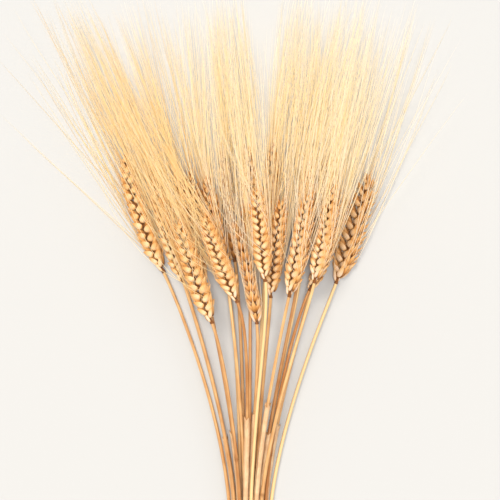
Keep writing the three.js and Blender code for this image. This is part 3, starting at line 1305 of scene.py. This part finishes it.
@dataclass
class Ear:
    """An ear: two rows of spikelets on a zigzag stem, and the awns that grow from them.

    Lengths are in millimetres and angles in degrees. A size that says it varies is the spread of
    the small differences from one scale or awn to the next.

    Attributes:
        number: its number in the bundle.
        stalk: the stalk that bears it.
        layout: where the bundle lies.
        seed: its random numbers start from this plus its number.
        usual_width: the ear's width when its scales have the places that SPIKELET gives.
        usual_pitch: the distance that they need from one spikelet to the next on a side.
        widest_gape: the gape at which the scales would reach the ear's axis.
        first_up: how far up the ear the first spikelet grows.
        closer_foot: a power above 1 sets the spikelets closer together at the foot.
        top_room: what the last spikelet and the crown need at the tip.
        crown_up: how far above the last spikelet the crown grows.
        swell: places along the ear, from 0 to 1, and the scales' size there.
        opening: places along the ear, from 0 to 1, and how far the scales lean out there.
        lean_varies: how much a scale's lean varies.
        splay_varies: how much its splay varies.
        size_varies: how much its size varies.
        foot_varies: how much the place of its foot varies.
        slim_foot: the lowest part of the ear, from 0 to 1, where scales are slimmer.
        slim_longer: how much longer a scale is at the very foot.
        slim_narrower: how much narrower it is there.
        longer_with_room: the power by which scales grow longer where spikelets stand apart.
        thicker_with_room: the same for their thickness.
        belly: the colour of the belly on the palest ear, and how much it gains on the ripest.
        belly_varies: how much that colour varies.
        paler_foot: how much paler scales are at the foot.
        riper_tip: how much riper they are from the foot to the tip.
        usual_tone_at: the place along the ear, from 0 to 1, where that adds nothing.
        painted_shade_inside: how much darker the middle scale is painted for each degree of gape,
            as shade inside the opened spikelet.
        flattest: the lowest height of a husk that is pressed on the surface, and its share of the
            husk's own height, down to the depth that follows.
        tiles: how many columns and rows of scales the piece's own map has room for.
        rachis: the zigzag, the shares of width and depth, and the length that the stem lacks.
        open_face: how far a scale must face up for its awn to break off.
        snapped_share: the share of such awns that have broken off.
        awn_length: the shortest and the longest awn.
        awn_foot_longer: how much longer the shortest is at the ear's foot.
        awn_radius: half an awn's thickness at its foot.
        awn_tip_radius: the same at its tip.
        awn_fan: how far awns fan out at the tip.
        awn_spread: how much further they fan out at the foot.
        awn_stray: how much their direction varies.
        awn_rise: how much of their scale's rise they keep.
        rise_varies: how much that varies.
        looser_right: how much looser the ears combed to the right are.
        wild: the share of awns that stray much further, and how much their direction varies.
        most_closing: the most that an awn closes over the ear, in shares of the veil.
        less_at_tip: what is left of veil and flare at the ear's tip, from 0 to 1.
        flare_share: the share of the outer awns that flare.
        flare_power: above 1 so that most of those flare little.
        ragged: the most that an awn ends below the highest place.
        awn_turn: how far along an awn it has turned the way it is combed, from 0 to 1.
        awn_start: how much it keeps of its scale's direction until then.
        awn_bend: how much it bends outwards there.
        awn_hug: how far a veiling awn first keeps to the ear's axis.
        awn_lift: how far it first rises over the ear.
        awn_floor: the lowest place of that turn.
        awn_points: how many places draw an awn.
        awn_wave: how far an awn waves.
        waves: the least and the most that it waves, in radians along it.
        bleaching: the two numbers of the beta distribution of the awns' colours.
        awn_riper: how much an ear's ripeness adds to its awns' colour.
        painted_light_by_side: what is added on the left of the bundle and on the rest of it,
            painted light and shade that leaves the awns deeper golden on the left and paler
            elsewhere.
        painted_light_by_comb: the comb of the ears on the left and of those on the rest.
        line: the ear's axis.
        chance: its own random numbers.
        scales: its scales, from the foot up.
    """

    number: int
    stalk: Stalk
    layout: Layout
    seed: int = 100
    usual_width: float = 14.0
    usual_pitch: float = 6.8
    widest_gape: float = 50.0
    first_up: float = 1.2
    closer_foot: float = 1.06
    top_room: float = 9.5
    crown_up: float = 0.3
    swell: tuple[tuple[float, float], ...] = (
        (0.0, 0.70), (0.06, 0.86), (0.16, 1.0), (0.75, 0.97), (0.92, 0.8), (1.0, 0.66),
    )
    opening: tuple[tuple[float, float], ...] = (
        (0.0, 0.24), (0.06, 0.62), (0.15, 1.0), (0.8, 0.95), (1.0, 0.4),
    )
    lean_varies: float = 2.2
    splay_varies: float = 2.0
    size_varies: float = 0.035
    foot_varies: float = 0.15
    slim_foot: float = 0.12
    slim_longer: float = 0.6
    slim_narrower: float = 0.3
    longer_with_room: float = 0.7
    thicker_with_room: float = 0.5
    belly: tuple[float, float] = (0.1, 0.35)
    belly_varies: float = 0.04
    paler_foot: float = 0.12
    riper_tip: float = 0.16
    usual_tone_at: float = 0.4
    painted_shade_inside: float = 0.006
    flattest: tuple[float, float, float] = (0.11, 0.02, -3.0)
    tiles: tuple[int, int] = (13, 11)
    rachis: tuple[float, float, float, float] = (0.35, 0.95, 0.8, 6.0)
    open_face: float = 0.1
    snapped_share: float = 0.5
    awn_length: tuple[float, float] = (118.0, 152.0)
    awn_foot_longer: float = 10.0
    awn_radius: float = 0.185
    awn_tip_radius: float = 0.05
    awn_fan: float = 0.03
    awn_spread: float = 0.07
    awn_stray: float = 0.024
    awn_rise: float = 0.25
    rise_varies: float = 0.05
    looser_right: float = 5.0
    wild: tuple[float, float] = (0.14, 0.1)
    most_closing: float = 1.7
    less_at_tip: float = 0.4
    flare_share: float = 0.38
    flare_power: float = 1.3
    ragged: float = 30.0
    awn_turn: float = 0.33
    awn_start: float = 0.12
    awn_bend: float = 0.12
    awn_hug: float = 210.0
    awn_lift: float = 130.0
    awn_floor: float = 0.4
    awn_points: int = 24
    awn_wave: float = 0.8
    waves: tuple[float, float] = (4.0, 9.0)
    bleaching: tuple[float, float] = (1.6, 2.6)
    awn_riper: float = 0.2
    painted_light_by_side: tuple[float, float] = (0.12, -0.26)
    painted_light_by_comb: tuple[float, float] = (-0.3, -0.1)
    line: Line = field(init=False)
    chance: np.random.Generator = field(init=False)
    scales: list[Scale] = field(init=False)

    def __post_init__(self) -> None:
        """Finds the ear's axis, seeds its own chances and grows its scales."""
        self.line = self.layout.ear(self.stalk)
        self.chance = np.random.default_rng(self.seed + self.number)
        self.scales = [s for i in range(self.stalk.spikelets) for s in self.spikelet(i)]
        self.scales += self.crown()

    def vary(self, spread: float) -> float:
        """A small seeded difference from one scale to the next."""
        return float(self.chance.normal(0, spread))

    def scale(self, seat: Seat, side: int, face: int, along: float, height: float) -> Scale:
        """Grows one scale of the ear, with a little seeded variation.

        Args:
            seat: how it sits in its spikelet.
            side: 1 on the ear's right, -1 on its left.
            face: 1 at the front, -1 at the back.
            along: where its spikelet grows from, along the ear's axis.
            height: the same, from 0 to 1.

        Returns:
            The scale.
        """
        swell = float(np.interp(height, *np.transpose(self.swell)))
        opening = float(np.interp(height, *np.transpose(self.opening)))
        turn = np.array([side, 1, face], float)
        lean = math.radians(seat.lean * opening + self.vary(self.lean_varies))
        splay = math.radians(seat.splay + self.stalk.gape + self.vary(self.splay_varies))
        front = math.tan(splay) * (seat.foot[2] > 0)
        ahead = turn * unit([math.sin(lean), math.cos(lean), front])
        outward = turn * np.array(seat.outward)
        outward = unit(outward - ahead * (outward @ ahead))
        wide = self.stalk.width / self.usual_width
        closer = 1 - self.stalk.gape / self.widest_gape
        foot = turn * np.array(seat.foot) * (swell * wide, 1, swell * closer) + (0, along, 0)
        grown = swell * (1 + self.vary(self.size_varies))
        slim = max(0.0, 1 - height / self.slim_foot)
        length, half_width, half_thickness = (part * grown for part in seat.size)
        length *= 1 + self.slim_longer * slim
        half_width *= 1 - self.slim_narrower * slim
        roomy = max(1.0, self.pitch / self.usual_pitch)
        length *= roomy**self.longer_with_room
        half_width *= roomy
        half_thickness *= roomy**self.thicker_with_room
        if seat.kind is Kind.GLUME:
            half_width *= min(1.0, self.pitch / self.usual_pitch)
        palest, gains = self.belly
        belly = palest + gains * self.stalk.ripeness + self.vary(self.belly_varies)
        belly += self.riper_tip * (height - self.usual_tone_at) - self.paler_foot * slim
        # painted shade on the middle scale, deeper the more its spikelet gapes
        if seat.faces == (1,):
            belly += self.painted_shade_inside * self.stalk.gape
        foot = foot + self.chance.normal(0, self.foot_varies, 3)
        size = (length * wide**0.5, half_width, half_thickness)
        return Scale(seat, foot, ahead, outward, size, belly, height)

    @property
    def pitch(self) -> float:
        """From one spikelet to the next on the same side."""
        return 2 * (self.line.length - self.top_room) / (self.stalk.spikelets - 1)

    def spikelet(self, number: int) -> list[Scale]:
        """Grows the scales of one spikelet.

        Args:
            number: its number from the ear's foot, starting at 0.

        Returns:
            The scales.
        """
        height = number / (self.stalk.spikelets - 1)
        along = self.first_up + (self.line.length - self.top_room) * height**self.closer_foot
        side = 1 if number % 2 else -1
        return [self.scale(seat, side, f, along, height) for seat in SPIKELET for f in seat.faces]

    def crown(self) -> list[Scale]:
        """Grows the three small florets at the ear's tip."""
        along = self.line.length - self.top_room + self.crown_up
        return [self.scale(seat, 1, 1, along, 1.0) for seat in CROWN]

    def rolled(self, local: Points) -> Points:
        """Turns points about the ear's own length.

        Args:
            local: rows of X across the ear, Y along it and Z to its front.

        Returns:
            The same points once the ear is turned.
        """
        turn = math.radians(self.stalk.roll)
        cos, sin = math.cos(turn), math.sin(turn)
        x, y, z = np.moveaxis(local, -1, 0)
        return np.stack([x * cos + z * sin, y, z * cos - x * sin], -1)

    def grown(self, local: Points) -> Points:
        """Turns points about the ear, lays them on its axis and rests them on the surface.

        Args:
            local: rows of X across the ear, Y along it and Z to its front.

        Returns:
            The same points in the bundle.
        """
        laid = self.line.carry(self.rolled(local))
        lowest, share, depth = self.flattest
        height = laid[..., 2]
        laid[..., 2] = np.maximum(height, lowest + share * np.maximum(height, depth))
        return laid

    def husks(self, shapes: Shapes) -> bpy.types.Object:
        """Makes the scales and the stem of the ear, as one piece.

        Args:
            shapes: the modelled shapes.

        Returns:
            The piece.
        """
        cluster = Cluster(*self.tiles)
        for scale in self.scales:
            shape = shapes.glume if scale.seat.kind is Kind.GLUME else shapes.lemma
            # each scale's tone carries the painted shade of its kind
            cluster.add(shape, self.grown(scale.laid(shape)), scale.tone(shape))
        x, y, z = shapes.rachis.points.T
        sway, width, depth, lacks = self.rachis
        zigzag = sway * np.cos(np.pi * RACHIS_STEPS * z)
        neck, sunk = 0.03, 0.6  # the straight foot of the stem, and how far it goes into the straw
        along = z * (self.line.length - lacks) - sunk
        stem = np.stack([x * width + zigzag * (z > neck), along, y * depth], -1)
        # the stem takes the darkest tone: its own brown, deepened as painted shade in the seam
        # between the rows
        cluster.add(shapes.rachis, self.grown(stem), 1.0)
        return cluster.piece(f"husks_{self.number:02d}", self.layout, smooth_within=60)

    def snapped(self, scale: Scale) -> bool:
        """Whether a scale's awn has broken off, as many have on an open face with no veil."""
        is_open = self.stalk.veil == 0 and self.rolled(scale.outward)[2] > self.open_face
        return is_open and self.chance.random() < self.snapped_share

    def leaning(self, sideways: float, facing: float, low_down: float) -> tuple[float, float]:
        """Draws how an awn strays from the way that its ear is combed.

        Args:
            sideways: how far its scale points to the right.
            facing: how far its scale's back faces up.
            low_down: how near the ear's foot it grows, from 0 to 1.

        Returns:
            How far it leans to the right of the comb, and how far it closes over the ear's face.
        """
        stalk = self.stalk
        loose = 1 + max(0.0, stalk.comb) * self.looser_right
        across = sideways * (self.awn_spread * low_down + self.awn_fan) * loose
        across += self.vary(self.awn_stray * loose)
        across -= np.sign(sideways) * stalk.swept * (stalk.comb * sideways < 0)
        wild_share, wild_stray = self.wild
        across += self.vary(wild_stray) * (self.chance.random() < wild_share)
        closing = self.chance.uniform(0, self.most_closing)
        straying = self.chance.random() ** self.flare_power
        lower = self.less_at_tip + (1 - self.less_at_tip) * low_down
        over = max(facing, 0) * stalk.veil * closing * lower
        across -= np.sign(sideways) * over
        if stalk.flare * sideways > 0 and self.chance.random() < self.flare_share:
            across += stalk.flare * straying * lower
        return across, over

    def bristle(self, scale: Scale) -> Line:
        """Draws the awn that grows from a scale: it soon turns the way that the ear is combed.

        Args:
            scale: the scale.

        Returns:
            The awn's line.
        """
        stalk, layer = self.stalk, LAYERS[self.stalk.layer]
        start = self.grown(scale.point)
        ahead = unit(self.grown(scale.point + scale.ahead) - start)
        sideways, _, upwards = self.rolled(scale.ahead)
        low_down = 1 - scale.height
        across, over = self.leaning(sideways, self.rolled(scale.outward)[2], low_down)
        comb = unit([stalk.comb, 1.0, 0.0])
        level = unit([comb[1], -comb[0], 0.0])
        rise = upwards * self.awn_rise + self.vary(self.rise_varies)
        end = unit(comb + level * across + np.array([0, 0, rise]))
        low, high = self.awn_length
        length = self.chance.uniform(low + self.awn_foot_longer * low_down, high)
        below_top = self.layout.highest_awn - self.chance.uniform(0, self.ragged) - start[1]
        length = float(min(length, below_top / end[1]))
        end[2] = float(np.clip(start[2] + end[2] * length, *layer.room) - start[2]) / length
        bend = np.array([stalk.comb * self.awn_bend, 0, 0])
        middle = start + unit(ahead * self.awn_start + end + bend) * length * self.awn_turn
        middle -= level * np.sign(sideways) * self.awn_hug * over
        middle[2] = max(middle[2] + self.awn_lift * over, self.awn_floor)
        drawn = bezier(start, middle, start + end * length, count=self.awn_points)
        share = np.linspace(0, 1, self.awn_points)
        wave = np.sin(share * self.chance.uniform(*self.waves) + self.chance.uniform(0, ANY_TURN))
        return Line(drawn + np.outer(wave * share * self.vary(self.awn_wave), level))

    def awns(self, shapes: Shapes) -> bpy.types.Object:
        """Makes the bristles of the ear, as one piece.

        Args:
            shapes: the modelled shapes.

        Returns:
            The piece.
        """
        awned = [s for s in self.scales if s.seat.awned and not self.snapped(s)]
        cluster = Cluster(len(awned), 1)
        x, y, z = shapes.awn.points.T
        radius = self.awn_tip_radius + (self.awn_radius - self.awn_tip_radius) * (1 - z)
        size = np.where(z < 1, radius / np.maximum(1 - z, 1e-6), 0)
        for scale in awned:
            line = self.bristle(scale)
            laid = line.carry(np.stack([x * size, z * line.length, y * size], -1))
            laid[:, 2] = np.maximum(laid[:, 2], LOWEST)
            riper = self.chance.beta(*self.bleaching)
            riper += self.awn_riper * (self.stalk.ripeness - 0.5)
            # painted light and shade across the bundle: awns deeper golden on the left, paler on
            # the rest
            riper += float(np.interp(self.stalk.comb, self.painted_light_by_comb, self.painted_light_by_side))
            cluster.add(shapes.awn, laid, float(np.clip(riper, 0, 1)))
        return cluster.piece(f"awns_{self.number:02d}", self.layout, smooth_within=80)


@dataclass
class Straw:
    """A straw, from its hollow cut end to the neck of its ear. Lengths in millimetres.

    Attributes:
        number: its number in the bundle.
        stalk: the stalk that it belongs to.
        layout: where the bundle lies.
        seed: its random numbers start from this plus its number.
        foot_radius: half its thickness at the cut end.
        neck_radius: half its thickness at the neck.
        into_ear: how far it runs into the ear.
        joint_at: the lowest and highest place of a joint that no sheath grows from.
        below_sheath: how far the joint is below its sheath.
        joint_half: half the joint's length.
        joint_fades: how far from the joint its dark colour has faded out.
        sway: how far it sways from its line.
        sways: how often it does so, in radians along it.
        ripeness: its usual colour, from 0 to 1, and how much that varies.
    """

    number: int
    stalk: Stalk
    layout: Layout
    seed: int = 300
    foot_radius: float = 1.42
    neck_radius: float = 1.1
    into_ear: float = 0.6
    joint_at: tuple[float, float] = (46.0, 150.0)
    below_sheath: float = 3.0
    joint_half: float = 5.0
    joint_fades: float = 1.5
    sway: float = 0.12
    sways: float = 9.0
    ripeness: tuple[float, float] = (0.5, 0.22)

    def made(self, shapes: Shapes) -> bpy.types.Object:
        """Lays the straw along its line.

        Args:
            shapes: the modelled shapes.

        Returns:
            The piece.
        """
        chance = np.random.default_rng(self.seed + self.number)
        line = self.layout.straw(self.stalk)
        length = line.length + self.into_ear
        if self.stalk.sheath:
            joint = self.stalk.sheath[0] - self.below_sheath
        else:
            joint = chance.uniform(*self.joint_at)
        x, y, z = shapes.straw.points.T
        marks = (0, joint - self.joint_half, joint + self.joint_half, length)
        along = np.interp(z, (0, *JOINT, 1), marks)
        radius = np.interp(along, (0, length), (self.foot_radius, self.neck_radius))
        sway = chance.normal(0, self.sway, 2)[:, None]
        sway = sway * np.sin(along / length * self.sways + chance.uniform(0, ANY_TURN))
        laid = line.carry(np.stack([x * radius + sway[0], along, y * radius + sway[1]], -1))
        laid[:, 2] = np.maximum(laid[:, 2], LOWEST)
        usual, varies = self.ripeness
        cluster = Cluster(1, 1)
        cluster.add(shapes.straw, laid, float(np.clip(usual + chance.normal(0, varies), 0, 1)))
        piece = cluster.piece(f"straw_{self.number:02d}", self.layout, smooth_within=50)
        mark = piece.data.attributes.new("joint", "FLOAT", "POINT")
        near = np.exp(-(((along - joint) / self.joint_fades) ** 2))
        mark.data.foreach_set("value", near.astype(np.float32))
        return piece


@dataclass
class LeafSheath:
    """The dried foot of a leaf, wrapped round a straw. Lengths in millimetres, turns in radians.

    Attributes:
        number: its number in the bundle.
        stalk: the stalk that it belongs to.
        layout: where the bundle lies.
        seed: its random numbers start from this plus its number.
        radius: half its thickness.
        wall: the thickness of the leaf.
        twist: how far it winds round the straw from its foot to its collar.
        split_at: how far the split may lie to either side.
        wrinkle: how far it wrinkles, how often round it and how often along it.
        pucker: how far its collar puckers, and how often along it.
        clear: the lowest height of its outer side.
    """

    number: int
    stalk: Stalk
    layout: Layout
    seed: int = 500
    radius: float = 1.7
    wall: float = 0.14
    twist: float = 0.9
    split_at: float = 2.2
    wrinkle: tuple[float, float, float] = (0.07, 3.0, 30.0)
    pucker: tuple[float, float] = (0.05, 80.0)
    clear: float = 0.3

    def made(self, shapes: Shapes) -> bpy.types.Object:
        """Lays the sheath along the straw's line and gives it its thickness.

        Args:
            shapes: the modelled shapes.

        Returns:
            The piece.
        """
        chance = np.random.default_rng(self.seed + self.number)
        line = self.layout.straw(self.stalk)
        lower, upper = self.stalk.sheath
        x, y, z = shapes.sheath.points.T
        turn = np.arctan2(y, x) + self.twist * z * chance.choice((-1, 1))
        turn = turn + chance.uniform(-self.split_at, self.split_at)
        deep, round_it, along_it = self.wrinkle
        crumple = deep * np.sin(turn * round_it + z * along_it + chance.uniform(0, ANY_TURN))
        deep, along_it = self.pucker
        crumple += deep * np.sin(z * along_it + chance.uniform(0, ANY_TURN))
        wide = np.hypot(x, y) * self.radius * (1 + crumple * z)
        along = lower + z * (upper - lower)
        laid = line.carry(np.stack([wide * np.cos(turn), along, wide * np.sin(turn)], -1))
        laid[:, 2] = np.maximum(laid[:, 2], self.clear)
        cluster = Cluster(1, 1)
        cluster.add(shapes.sheath, laid, float(chance.random()))
        piece = cluster.piece(f"sheath_{self.number:02d}", self.layout, smooth_within=50)
        thick = piece.modifiers.new("wall", "SOLIDIFY")
        thick.thickness = self.wall * MM
        thick.offset = -1
        bpy.ops.object.modifier_apply(modifier=thick.name)
        return piece


# ---- The studio ----


@dataclass(frozen=True)
class Lamp:
    """One far-off soft light.

    Attributes:
        name: its name.
        place: where it shines from, as a direction.
        soft: how wide it looks from the bundle, in degrees.
        strength: how bright it is.
        tint: its colour.
    """

    name: str
    place: tuple[float, float, float]
    soft: float
    strength: float
    tint: str

    def hang(self) -> None:
        """Puts the lamp in the scene."""
        data = bpy.data.lights.new(self.name, "SUN")
        data.angle, data.energy = math.radians(self.soft), self.strength
        data.color = colour(self.tint)[:3]
        made = bpy.data.objects.new(self.name, data)
        bpy.context.scene.collection.objects.link(made)
        made.rotation_euler = Vector(self.place).to_track_quat("Z", "Y").to_euler()


@dataclass(frozen=True)
class Studio:
    """A plain pale surface, soft light from all round, and the camera that looks down.

    Attributes:
        floor_side: how long and wide the surface is, in metres.
        floor_colour: its colour.
        floor_roughness: how matt it is.
        sky_colour: the colour of the light from all round.
        sky_strength: how bright that is.
        lamps: the lamps.
        aim: the middle of what the picture shows, in metres.
        camera_height: how far above it the camera is, in metres.
        lens: the lens, in millimetres.
        sensor: the width of the picture behind it, in millimetres.
        sees: the nearest and the furthest that the camera sees, in metres.
    """

    floor_side: float = 6.0
    floor_colour: str = "#babcbe"
    floor_roughness: float = 0.85
    sky_colour: str = "#fffaf2"
    sky_strength: float = 0.6
    lamps: tuple[Lamp, ...] = (
        Lamp("key", (-0.6, 0.75, 1.6), 24, 2.2, "#fff6e8"),
        Lamp("fill", (1.1, 0.1, 0.9), 40, 0.6, "#f4f6ff"),
        Lamp("top", (0.05, 0.0, 1.7), 18, 1.8, "#fffaf4"),
    )
    aim: tuple[float, float, float] = (0.0132, 0.0556, 0.02)
    camera_height: float = 1.0
    lens: float = 100.0
    sensor: float = 36.0
    sees: tuple[float, float] = (0.05, 20.0)

    def floor(self) -> None:
        """Lays the pale painted surface that the bundle lies on."""
        bpy.ops.object.select_all(action="DESELECT")
        bpy.ops.mesh.primitive_plane_add(size=self.floor_side, location=(0, 0, 0))
        made = bpy.context.object
        made.name = "floor"
        paint = Nodes("matt_paint")
        tint = colour(self.floor_colour)
        made.data.materials.append(paint.look(Base_Color=tint, Roughness=self.floor_roughness))

    def light(self) -> None:
        """Sets the soft light from all round and the lamps."""
        world = bpy.data.worlds.new("sky")
        world.use_nodes = True
        back = world.node_tree.nodes["Background"]
        back.inputs["Color"].default_value = colour(self.sky_colour)
        back.inputs["Strength"].default_value = self.sky_strength
        bpy.context.scene.world = world
        for lamp in self.lamps:
            lamp.hang()
        bpy.context.scene.view_settings.view_transform = "Standard"

    def camera(self) -> None:
        """Sets the camera straight above the middle of what the picture shows."""
        data = bpy.data.cameras.new("camera")
        data.lens, data.sensor_width = self.lens, self.sensor
        data.clip_start, data.clip_end = self.sees
        made = bpy.data.objects.new("camera", data)
        bpy.context.scene.collection.objects.link(made)
        x, y, z = self.aim
        made.location = (x, y, z + self.camera_height)
        bpy.context.scene.camera = made


def main() -> None:
    """Builds the whole bundle, piece by piece, and its studio."""
    logging.basicConfig(level=logging.INFO, format="%(name)s %(message)s", stream=sys.stdout)
    studio = Studio()
    studio.floor()
    studio.light()
    studio.camera()
    layout, shapes, finishes = Layout(), Shapes.modelled(), Finishes()
    sheaths = 0
    for number, stalk in enumerate(STALKS, 1):
        straw = Straw(number, stalk, layout).made(shapes)
        fit(straw, finishes.straw, f"stem_{number:02d}")
        ear = Ear(number, stalk, layout)
        fit(ear.husks(shapes), finishes.husk, f"ear_{number:02d}")
        fit(ear.awns(shapes), finishes.bristle, f"ear_{number:02d}")
        if stalk.sheath:
            sheaths += 1
            sheath = LeafSheath(sheaths, stalk, layout).made(shapes)
            fit(sheath, finishes.leaf, f"leaf_sheath_{sheaths:02d}")


if __name__ == "__main__":
    main()
